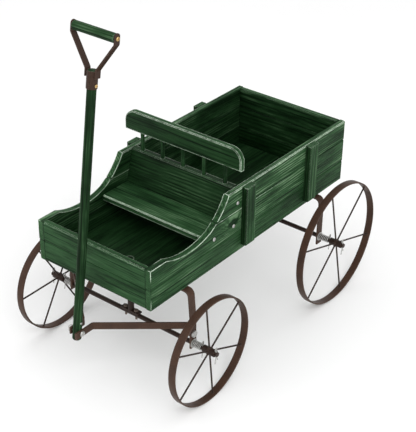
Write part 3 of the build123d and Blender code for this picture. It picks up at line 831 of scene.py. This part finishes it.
@made_once("Copies on points")
def copies_group(name):
    """Copies of one object on every point, turned by the points' own turn and a seeded roll."""
    tree, given, out = new_group(
        name,
        "GeometryNodeTree",
        {"Geometry": "Geometry", "Copy": "Object", "Roll": 0.0, "Seed": 3, "Material": "Material"},
        {"Geometry": "Geometry"},
    )
    source = tree.add("GeometryNodeObjectInfo", {"Object": given["Copy"]}).outputs["Geometry"]
    facing = tree.add("GeometryNodeInputNamedAttribute", {"Name": "facing"}, data_type="FLOAT_VECTOR")
    turn = tree.add("FunctionNodeAlignRotationToVector", {"Vector": facing.outputs[0]}, axis="Z").outputs[0]
    roll = tree.add("FunctionNodeRandomValue", {"Seed": given["Seed"]}, data_type="FLOAT").outputs[1]
    roll = tree.times(roll, given["Roll"])
    spin = tree.add("FunctionNodeAxisAngleToRotation", {"Axis": (0, 0, 1), "Angle": roll}).outputs[0]
    both = tree.add("FunctionNodeRotateRotation", {0: turn, 1: spin}, rotation_space="LOCAL").outputs[0]
    values = {"Points": given["Geometry"], "Instance": source, "Rotation": both}
    spots = tree.add("GeometryNodeInstanceOnPoints", values)
    tree.put(realized(tree, spots.outputs[0], given["Material"]), out["Geometry"])
    return tree.tree


def copies(name, template, places, material, roll=0.0, seed=3):
    """One mesh holding a copy of template at each (point, facing)."""
    spots = bpy.data.meshes.new(name)
    spots.from_pydata([tuple(point) for point, _ in places], [], [])
    facing = spots.attributes.new("facing", "FLOAT_VECTOR", "POINT")
    facing.data.foreach_set("vector", [c for _, way in places for c in way])
    copy = held(name + "_one", template)
    values = {"Copy": copy, "Roll": roll, "Seed": seed, "Material": material}
    mesh = grown(name, copies_group(), values, spots)
    bpy.data.objects.remove(copy)
    return mesh


# ---------------------------------------------------------------- boards
def facing_rule(way, inner, outer):
    """A rule that gives faces turned towards way the inner painted shade and stain, and the others the
    outer one.
    """
    direction = Vector(way)
    return lambda normal: inner if normal.dot(direction) > 0.5 else outer


def edge_rule(node, trees):
    """A rule that gives 1 at a board's free edges and 0 where it lies against another board."""
    others = [tree for name, tree in trees.items() if name != node]
    reach = 2.6 * MM
    return lambda point: 0.0 if any(tree.find_nearest(point, reach)[0] for tree in others) else 1.0


# The painted shade darkens faces that lie in shade: the box's inner faces, the floor, the seat's underside
# and top, and the battens' fronts.
BOARD_ROWS = (
    # node, grain direction, relief, wear, painted shade and stain of most faces, painted shade and stain of
    # the face turned the way it looks (the inner face, the seat's underside, the battens' front), way it
    # looks
    ("side_plank_left_low", "Y", 0.45, 0.7, 0.10, 0.80, (1, 0, 0)),
    ("side_plank_left_mid", "Y", 0.80, 0.7, 0.05, 0.75, (1, 0, 0)),
    ("side_plank_left_top", "Y", 1.00, 0.8, 0.00, 0.62, (1, 0, 0)),
    ("side_plank_right_low", "Y", 0.45, 0.7, 0.16, 0.90, (-1, 0, 0)),
    ("side_plank_right_mid", "Y", 0.80, 1.0, 0.08, 0.90, (-1, 0, 0)),
    ("side_plank_right_top", "Y", 1.00, 1.1, 0.05, 0.90, (-1, 0, 0)),
    ("front_plank_low", "X", 0.20, 0.5, 0.08, 0.90, (0, 1, 0)),
    ("front_plank_top", "X", 0.15, 1.3, 0.00, 0.85, (0, 1, 0)),
    ("rear_plank_low", "X", 0.60, 0.5, 0.10, 0.95, (0, -1, 0)),
    ("rear_plank_mid", "X", 0.70, 0.6, 0.05, 0.80, (0, -1, 0)),
    ("rear_plank_top", "X", 0.80, 0.6, 0.00, 0.70, (0, -1, 0)),
    ("floor_board_left", "Y", 0.20, 0.1, 0.70, 0.76, (0, 0, 1)),
    ("floor_board_mid", "Y", 0.20, 0.1, 0.70, 0.76, (0, 0, 1)),
    ("floor_board_right", "Y", 0.20, 0.1, 0.70, 0.76, (0, 0, 1)),
    ("seat_board_front", "X", 0.45, 2.2, 0.16, 0.95, (0, 0, -1)),
    ("seat_board_rear", "X", 0.45, 0.3, 0.16, 0.95, (0, 0, -1)),
    ("seat_back_low", "X", 0.40, 0.3, 0.76, 0.95, (0, 1, 0)),
    ("seat_back_mid", "X", 0.50, 0.3, 0.76, 0.95, (0, 1, 0)),
    ("seat_back_top", "X", 0.50, 0.5, 0.74, 0.95, (0, 1, 0)),
    ("batten_left_front", "Z", 0.60, 0.7, 0.05, 0.88, (0, -1, 0)),
    ("batten_left_rear", "Z", 0.60, 0.7, 0.05, 0.88, (0, -1, 0)),
    ("batten_right_front", "Z", 0.60, 0.7, 0.12, 0.88, (0, -1, 0)),
    ("batten_right_rear", "Z", 0.60, 0.6, 0.24, 0.88, (0, -1, 0)),
    ("backrest_board", "X", 0.25, 1.3, 0.18, 0.62, (0, -1, 0)),
)


def knot_place(node):
    """The middle of the knot in the outer face of a side plank, between the seat's screws."""
    low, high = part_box(node)
    seat_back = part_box("seat_back_low")[1].y
    return (high.x, seat_back - 3 * MM, low.z + 0.55 * (high.z - low.z))


class WAGON_OT_boards(bpy.types.Operator):
    """Round the boards' edges and stain them"""

    bl_idname = "wagon.boards"
    bl_label = "Boards"

    def execute(self, context):
        wood = context.scene.wagon.wood
        trees = {row[0]: surface_tree(row[0]) for row in BOARD_ROWS}
        for number, (node, along, relief, wear, painted_shade_and_stain, inner, way) in enumerate(BOARD_ROWS):
            mesh = softened(node, wood.edge, cuts=along)
            knot = NOWHERE
            if node == "side_plank_right_mid":
                knot = knot_place(node)
            painted_shades_and_stains = facing_rule(way, inner, painted_shade_and_stain)
            mark_wood(mesh, number + 1.0, relief, painted_shades_and_stains, wear, edge_rule(node, trees), knot)
            material = wood_material(f"stained wood along {along}", wood, along)
            slot = "stained_wood_inside" if node.startswith("floor") else "stained_wood"
            show(node + "_wood", mesh, "body", slot, [node], material)
        return {"FINISHED"}


class WAGON_OT_spindles(bpy.types.Operator):
    """Turn the spindles under the backrest"""

    bl_idname = "wagon.spindles"
    bl_label = "Spindles"

    def execute(self, context):
        wood = context.scene.wagon.wood
        material = wood_material("stained wood along Z", wood, "Z")
        boxes = islands("backrest_spindles")
        low, high = boxes[0]
        radius = (high.x - low.x) / 2
        tall = high.z - low.z
        waist = 0.93 * radius
        edge = 0.5 * MM
        profile = [(0, 0), (radius - edge, 0), (radius, edge), (radius, 0.25 * tall), (waist, 0.5 * tall)]
        profile += [(radius, 0.75 * tall), (radius, tall - edge), (radius - edge, tall), (0, tall)]
        places = [(middle(box, z=box[0].z), (0, 0, 1)) for box in boxes]
        mesh = copies("spindles", turned(profile, 24), places, material, roll=math.tau, seed=5)
        mark_wood(mesh, 31.0, 0.5, lambda normal: 0.50)
        show("backrest_spindles_wood", mesh, "body", "stained_wood", ["backrest_spindles"])
        return {"FINISHED"}


# ---------------------------------------------------------------- screws, bolts, pins and springs
def cross_head(radius, height, shank):
    """A pan-head screw with a cross recess, its head standing on Z = 0 and its shank below."""
    dome = [(radius * math.sin(t), height * (0.35 + 0.65 * math.cos(t))) for t in (0.5, 0.9, 1.25, 1.5)]
    profile = [(0, height), *dome, (radius, 0), (0.5 * radius, 0), (0.5 * radius, -shank), (0, -shank)]
    head = held("screw", turned(profile, 28))
    cutter = bmesh.new()
    for turn in (0.0, math.pi / 2):
        spread = Matrix.Diagonal((1.15 * radius, 0.24 * radius, 1.3 * height, 1))
        place = Matrix.Translation((0, 0, 1.05 * height)) @ Matrix.Rotation(turn, 4, "Z") @ spread
        bmesh.ops.create_cube(cutter, size=1.0, matrix=place)
    mesh = bpy.data.meshes.new("recess")
    cutter.to_mesh(mesh)
    cutter.free()
    tool = held("recess", mesh)
    cut = head.modifiers.new("Recess", "BOOLEAN")
    cut.object = tool
    cut.operation = "DIFFERENCE"
    cut.solver = "EXACT"
    cut.use_self = True
    result = baked(head)
    bpy.data.objects.remove(tool)
    result.set_sharp_from_angle(angle=math.radians(40))
    return result


def eyelet_head(radius, height, shank):
    """A low round head with a deep round socket, standing on Z = 0."""
    section = [(0, 0.25), (0.42, 0.25), (0.48, 1), (0.60, 1.05), (0.86, 0.92), (1, 0.5), (1, 0), (0.5, 0)]
    profile = [(across * radius, up * height) for across, up in section]
    return turned([*profile, (0.5 * radius, -shank), (0, -shank)], 28)


def middle(box, **fixed):
    """The middle of a box, with the coordinates that are given taken instead."""
    point = (box[0] + box[1]) / 2
    for axis, value in fixed.items():
        setattr(point, axis, value)
    return point


def side_heads(node):
    """Where the screws in the two sides have their heads' seats, and which way they look."""
    for low, high in islands(node):
        way = math.copysign(1, low.x + high.x)
        face = max(abs(low.x), abs(high.x)) - HEAD_H
        yield middle((low, high), x=way * face), (way, 0, 0)


class WAGON_OT_screws(bpy.types.Operator):
    """Drive the plated screws into the sides and the rear bracket"""

    bl_idname = "wagon.screws"
    bl_label = "Screws"

    def execute(self, context):
        zinc = zinc_plate(context.scene.wagon.iron)
        head = cross_head(HEAD_R, HEAD_H, 2 * MM)
        mesh = copies("side_screws", head.copy(), list(side_heads("side_screws")), zinc, math.tau, 2)
        show("side_screws_zinc", mesh, "body", "zinc_hardware", ["side_screws"])
        boxes = islands("rear_bracket_screws")
        places = [(middle(box, z=box[0].z + HEAD_H), (0, 0, -1)) for box in boxes]
        mesh = copies("bracket_screws", head, places, zinc, math.tau, 4)
        show("rear_bracket_screws_zinc", mesh, "body", "zinc_hardware", ["rear_bracket_screws"])
        return {"FINISHED"}


class WAGON_OT_springs(bpy.types.Operator):
    """Wind the wire springs behind the hubs"""

    bl_idname = "wagon.springs"
    bl_label = "Hub springs"

    def execute(self, context):
        wire = context.scene.wagon.wire
        zinc = zinc_plate(context.scene.wagon.iron)
        for node, body in (("front_hub_springs", "front_truck"), ("rear_hub_springs", "body")):
            low, high = islands(node)[-1]
            values = {
                "Start": low.x,
                "Length": high.x - low.x,
                "Coil radius": (high.z - low.z) / 2,
                "Wire radius": wire.spring_wire,
                "Turns": wire.spring_turns,
                "Centre": tuple(middle((low, high), x=0.0)),
                "Material": zinc,
            }
            show(node + "_wire", grown(node, spring_group(), values), body, "zinc_hardware", [node])
        return {"FINISHED"}


def split_pin(tall, wire):
    """A split pin hanging from Z = 0: a round eye on top and two legs spread at their ends."""
    eye = 4.0 * wire
    turns = 20
    points = []
    for i in range(7):
        t = i / 6
        points.append((0.4 * wire, -1.1 * wire - 2.6 * wire * (1 - t) ** 3, -tall * (1 - t) - eye * t))
    for i in range(1, turns):
        a = math.radians(-60) + math.radians(300) * i / turns
        points.append((0, eye * 0.9 * math.sin(a + math.pi), eye * 0.9 * -math.cos(a + math.pi)))
    for i in range(7):
        t = 1 - i / 6
        spread = 1.1 * wire + 3.6 * wire * (1 - t) ** 2
        points.append((-0.4 * wire, spread, -0.82 * tall * (1 - t) - eye * t))
    return wire_mesh(points, wire)


class WAGON_OT_pins(bpy.types.Operator):
    """Put the split pins through the axles"""

    bl_idname = "wagon.pins"
    bl_label = "Split pins"

    def execute(self, context):
        wire = context.scene.wagon.wire.pin_wire
        zinc = zinc_plate(context.scene.wagon.iron)
        for node, body in (("front_cotter_pins", "front_truck"), ("rear_cotter_pins", "body")):
            boxes = islands(node)
            tall = boxes[0][1].z - boxes[0][0].z
            pin = split_pin(tall - 5.6 * wire, wire)
            places = [(middle(box, z=box[1].z - 4.7 * wire), (0, 0, 1)) for box in boxes]
            mesh = copies(node, pin, places, zinc)
            show(node + "_wire", mesh, body, "zinc_hardware", [node])
        return {"FINISHED"}


class WAGON_OT_washers(bpy.types.Operator):
    """Put the washers against the brackets' legs"""

    bl_idname = "wagon.washers"
    bl_label = "Washers"

    def execute(self, context):
        iron = context.scene.wagon.iron
        zinc = zinc_plate(iron)
        for node, body in (("front_hub_washers", "front_truck"), ("rear_hub_washers", "body")):
            boxes = islands(node)
            low, high = boxes[0]
            thick, radius = high.x - low.x, (high.z - low.z) / 2
            bore, edge = 4.1 * MM, iron.small_edge
            profile = [(bore + edge, 0), (radius - edge, 0), (radius, edge), (radius, thick - edge)]
            profile += [(radius - edge, thick), (bore + edge, thick), (bore, thick - edge), (bore, edge)]
            places = [(middle(box, x=box[0].x), (1, 0, 0)) for box in boxes]
            mesh = copies(node, turned(profile, 36, closed=True), places, zinc)
            show(node + "_zinc", mesh, body, "zinc_hardware", [node])
        return {"FINISHED"}


class WAGON_OT_bolts(bpy.types.Operator):
    """Round the edges of the bolts and nuts and plate them"""

    bl_idname = "wagon.bolts"
    bl_label = "Bolts"

    def execute(self, context):
        iron = context.scene.wagon.iron
        zinc = zinc_plate(iron)
        dull = iron_material("dull bolt steel", iron, (0.19, 0.15, 0.125), 0.4, 0.6)
        rows = (
            ("axle_clamp_bolts", "front_truck", dull),
            ("drawbar_bolts", "front_truck", zinc),
            ("handle_bolt", "drawbar", zinc),
        )
        for node, body, material in rows:
            show(node + "_steel", softened(node, iron.small_edge), body, "zinc_hardware", [node], material)
        return {"FINISHED"}


# ---------------------------------------------------------------- ironwork
class WAGON_OT_irons(bpy.types.Operator):
    """Round and paint the straps, axles, king post and drawbar arms"""

    bl_idname = "wagon.irons"
    bl_label = "Ironwork"

    def execute(self, context):
        iron = context.scene.wagon.iron
        paint, dark, grip = rust_brown(iron), dark_bar(iron), grip_brown(iron)
        rows = (
            ("rear_bracket", "body", paint),
            ("front_bracket", "front_truck", paint),
            ("king_post", "front_truck", dark),
            ("king_washer", "front_truck", dark),
            ("front_axle", "front_truck", dark),
            ("rear_axle", "body", dark),
            ("drawbar_arm_left", "drawbar", paint),
            ("drawbar_arm_right", "drawbar", paint),
            ("grip_bar_left", "handle", grip),
            ("grip_bar_right", "handle", grip),
        )
        for node, body, material in rows:
            width = iron.edge if "axle" not in node else 0.5 * iron.edge
            piece = show(node + "_iron", softened(node, width), body, "dark_iron", [node], material)
            if node == "king_post":
                self.stain_head(piece, context.scene.wagon.wood)
        return {"FINISHED"}

    def stain_head(self, piece, wood):
        """Brush the floor's stain over the king pin's head, which lies flush in the floor."""
        # The head gets a painted shade like that of the floor boards round it.
        mark_wood(piece.data, 51.0, 0.2, lambda normal: 0.80)
        piece.data.materials.append(wood_material("stained wood along Y", wood, "Y"))
        top = max(corner[2] for corner in piece.bound_box)
        for face in piece.data.polygons:
            if face.center.z > top - 0.5 * MM:
                face.material_index = 1


class WAGON_OT_wheels(bpy.types.Operator):
    """Build the four spoked wheels"""

    bl_idname = "wagon.wheels"
    bl_label = "Wheels"

    def execute(self, context):
        iron = context.scene.wagon.iron
        sizes = context.scene.wagon.wheels
        for which in ("front_left", "front_right", "rear_left", "rear_right"):
            rim, spider = f"wheel_rim_{which}", f"wheel_spider_{which}"
            low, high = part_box(rim)
            hub_low, hub_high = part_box(spider)
            values = {
                "Radius": (high.z - low.z) / 2,
                "Rim width": high.x - low.x,
                "Rim thickness": sizes.rim_thickness,
                "Rim edge": sizes.rim_edge,
                "Hub radius": sizes.hub_radius,
                "Hub bore": sizes.hub_bore,
                "Hub length": hub_high.x - hub_low.x,
                "Spokes": sizes.spoke_count,
                "Spoke radius": sizes.spoke_radius,
                "Weld radius": sizes.weld_radius,
                "Turn": getattr(sizes, which + "_turn"),
                "Centre": tuple((low + high) / 2),
                "Rim material": rust_brown(iron),
                "Spoke material": dark_bar(iron),
            }
            mesh = grown("wheel_" + which, wheel_group(), values)
            mesh.set_sharp_from_angle(angle=math.radians(48))
            show(f"wheel_{which}_iron", mesh, "wheel_" + which, "dark_iron", [rim, spider])
        return {"FINISHED"}


# ---------------------------------------------------------------- handle
def along_stick(lean, place):
    """Moves a shape drawn upright at the origin onto the leaning stick."""
    return Matrix.Translation(place) @ Matrix.Rotation(-lean, 4, "X")


def sleeve_mesh(inner, wall, tall, seam):
    """A rolled sleeve standing on Z = 0, open along one narrow seam towards -Y."""
    shape = bmesh.new()
    steps = 56
    gap = seam / (inner + wall)
    edge = 0.3 * wall
    outer = inner + wall
    section = [(inner, edge), (inner + edge, 0), (outer - edge, 0), (outer, edge)]
    section += [(outer, tall - edge), (outer - edge, tall), (inner + edge, tall), (inner, tall - edge)]
    start = -math.pi / 2 + 0.35 + gap / 2
    rings = []
    for i in range(steps + 1):
        turn = start + (math.tau - gap) * i / steps
        rings.append([shape.verts.new((r * math.cos(turn), r * math.sin(turn), z)) for r, z in section])
    bridge(shape, rings)
    shape.faces.new(rings[0])
    shape.faces.new(rings[-1])
    return smooth_mesh("sleeve", shape, 40)


def stick_ends(node, lean):
    """Foot and top of a leaning round node's middle line, and its radius."""
    low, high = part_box(node)
    radius = (high.x - low.x) / 2
    up = Vector((0, math.sin(lean), math.cos(lean)))
    tall = ((high.z - low.z) - 2 * radius * math.sin(lean)) / math.cos(lean)
    middle = (low + high) / 2
    return middle - up * tall / 2, middle + up * tall / 2, radius


class WAGON_OT_handle(bpy.types.Operator):
    """Turn the stick and the grip, roll the sleeve and set the brass screws"""

    bl_idname = "wagon.handle"
    bl_label = "Handle"

    def execute(self, context):
        settings = context.scene.wagon
        lean = settings.handle.lean
        wood = settings.wood
        foot, top, radius = stick_ends("handle_stick", lean)
        tall = (top - foot).length
        foot_edge, top_edge = 3 * MM, 0.6 * MM
        profile = [(0, 0), *[(r, foot_edge - h) for r, h in rounded(radius, foot_edge, foot_edge, 6)]]
        profile += [(radius, tall - top_edge), (radius - top_edge, tall), (0, tall)]
        mesh = turned(profile, 48)
        mark_wood(mesh, 41.0, 0.75, lambda normal: 0.74)
        mesh.transform(along_stick(lean, foot))
        material = wood_material("stained wood of the stick", wood, "Z", lean)
        show("handle_stick_wood", mesh, "handle", "stained_stick", ["handle_stick"], material)

        low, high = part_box("hand_grip")
        grip_r = (high.z - low.z) / 2
        half = (high.x - low.x) / 2
        end = rounded(grip_r, half, 1.6 * MM, 5)
        profile = [(0, half), *end, *[(r, -h) for r, h in reversed(end)], (0, -half)]
        mesh = turned(profile, 48)
        mesh.transform(Matrix.Translation((low + high) / 2) @ Matrix.Rotation(math.pi / 2, 4, "Y"))
        mark_wood(mesh, 43.0, 0.6, lambda normal: 0.52)
        material = wood_material("stained wood along X", wood, "X")
        show("hand_grip_wood", mesh, "handle", "stained_stick", ["hand_grip"], material)

        sleeve_foot, sleeve_top, outer = stick_ends("handle_sleeve", lean)
        wall = settings.handle.sleeve_wall
        mesh = sleeve_mesh(outer - wall, wall, (sleeve_top - sleeve_foot).length, settings.handle.seam)
        mesh.transform(along_stick(lean, sleeve_foot))
        grip = grip_brown(settings.iron)
        show("handle_sleeve_iron", mesh, "handle", "dark_iron", ["handle_sleeve"], grip)

        brass = plated_material("brass screw", settings.iron.brass, 0.32)
        zinc = zinc_plate(settings.iron)
        head = eyelet_head(HEAD_R, HEAD_H, 6 * MM)
        mesh = copies("grip_screws", head, list(side_heads("grip_screws")), brass)
        show("grip_screws_brass", mesh, "handle", "brass_hardware", ["grip_screws"])
        boxes = sorted(islands("handle_screws"), key=lambda box: box[0].z)
        seat = 1.4 * MM
        rows = (
            ("stick_screw_zinc", cross_head, zinc, "zinc_hardware", []),
            ("sleeve_screw_brass", eyelet_head, brass, "brass_hardware", ["handle_screws"]),
        )
        for box, (name, make, material, slot, replaced) in zip(boxes, rows):
            radius = (box[1].z - box[0].z) / 2
            place = (middle(box, x=box[1].x - seat), (1, 0, 0))
            mesh = copies(name, make(radius, seat, 3 * MM), [place], material)
            show(name, mesh, "handle", slot, replaced)
        return {"FINISHED"}


# ---------------------------------------------------------------- stage
class WAGON_OT_stage(bpy.types.Operator):
    """Lay the floor and set up lights and camera"""

    bl_idname = "wagon.stage"
    bl_label = "Stage"

    def execute(self, context):
        scene = context.scene
        stage = scene.wagon.stage
        self.add_floor(scene, stage)
        self.add_camera(scene)
        self.add_lamp(scene, "key", (1.9, -1.5, 2.3), stage.key, 1.6)
        self.add_lamp(scene, "fill", (-1.6, -2.0, 1.7), stage.fill, 2.2)
        world = bpy.data.worlds.new("white surroundings")
        world.use_nodes = True
        background = world.node_tree.nodes["Background"]
        background.inputs["Color"].default_value = (1, 1, 1, 1)
        background.inputs["Strength"].default_value = stage.sky
        scene.world = world
        scene.view_settings.view_transform = "Standard"
        scene.view_settings.look = "None"
        return {"FINISHED"}

    def add_floor(self, scene, stage):
        mesh = bpy.data.meshes.new("floor")
        mesh.from_pydata([(-30, -30, 0), (30, -30, 0), (30, 30, 0), (-30, 30, 0)], [], [(0, 1, 2, 3)])
        material, tree, surface, position = new_material("pale floor")
        cloud = tree.noise(position, 3.0, 3.0)
        tone = tree.mix(tree.span(cloud, 0.3, 0.7), rgba(stage.floor), rgba(stage.floor, 0.985))
        tree.put(tone, surface["Base Color"])
        surface["Roughness"].default_value = 0.9
        surface["Specular IOR Level"].default_value = 0.1
        mesh.materials.append(material)
        floor = bpy.data.objects.new("floor", mesh)
        scene.collection.objects.link(floor)

    def add_camera(self, scene):
        data = bpy.data.cameras.new("camera")
        data.lens = LENS
        data.sensor_width = 36.0
        data.clip_start, data.clip_end = 0.05, 100
        camera = bpy.data.objects.new("camera", data)
        turn, rise, roll = CAMERA_TURN, CAMERA_RISE, CAMERA_ROLL
        back = Vector((math.sin(turn) * math.cos(rise), -math.cos(turn) * math.cos(rise), math.sin(rise)))
        right = Vector((math.cos(turn), math.sin(turn), 0))
        up = back.cross(right)
        across = right * math.cos(roll) + up * math.sin(roll)
        upward = up * math.cos(roll) - right * math.sin(roll)
        facing = Matrix((across, upward, back)).transposed().to_4x4()
        camera.matrix_world = Matrix.Translation(CAMERA_PLACE) @ facing
        scene.collection.objects.link(camera)
        scene.camera = camera

    def add_lamp(self, scene, name, place, power, size):
        data = bpy.data.lights.new(name, "AREA")
        data.energy = power
        data.size = size
        lamp = bpy.data.objects.new(name, data)
        aim = (Vector(place) - Vector((0, 0, 0.25))).to_track_quat("Z", "Y")
        lamp.matrix_world = Matrix.Translation(place) @ aim.to_matrix().to_4x4()
        scene.collection.objects.link(lamp)


class WAGON_PT_panel(bpy.types.Panel):
    """The wagon's operators, in the sidebar"""

    bl_idname = "WAGON_PT_panel"
    bl_label = "Garden Wagon"
    bl_space_type = "VIEW_3D"
    bl_region_type = "UI"
    bl_category = "Wagon"

    def draw(self, context):
        for operator in OPERATORS:
            self.layout.operator(operator.bl_idname, text=operator.bl_label)


OPERATORS = (
    WAGON_OT_stage,
    WAGON_OT_boards,
    WAGON_OT_spindles,
    WAGON_OT_irons,
    WAGON_OT_wheels,
    WAGON_OT_springs,
    WAGON_OT_pins,
    WAGON_OT_washers,
    WAGON_OT_screws,
    WAGON_OT_bolts,
    WAGON_OT_handle,
)
GROUPS = (WagonWood, WagonIron, WagonWheels, WagonWire, WagonHandle, WagonStage, WagonSettings)
CLASSES = (*GROUPS, *OPERATORS, WAGON_PT_panel)


def register():
    for item in CLASSES:
        bpy.utils.register_class(item)
    bpy.types.Scene.wagon = PointerProperty(type=WagonSettings)


def unregister():
    del bpy.types.Scene.wagon
    for item in reversed(CLASSES):
        bpy.utils.unregister_class(item)


def main():
    register()
    for operator in OPERATORS:
        getattr(bpy.ops.wagon, operator.bl_idname.removeprefix("wagon."))()


if __name__ == "__main__":
    main()
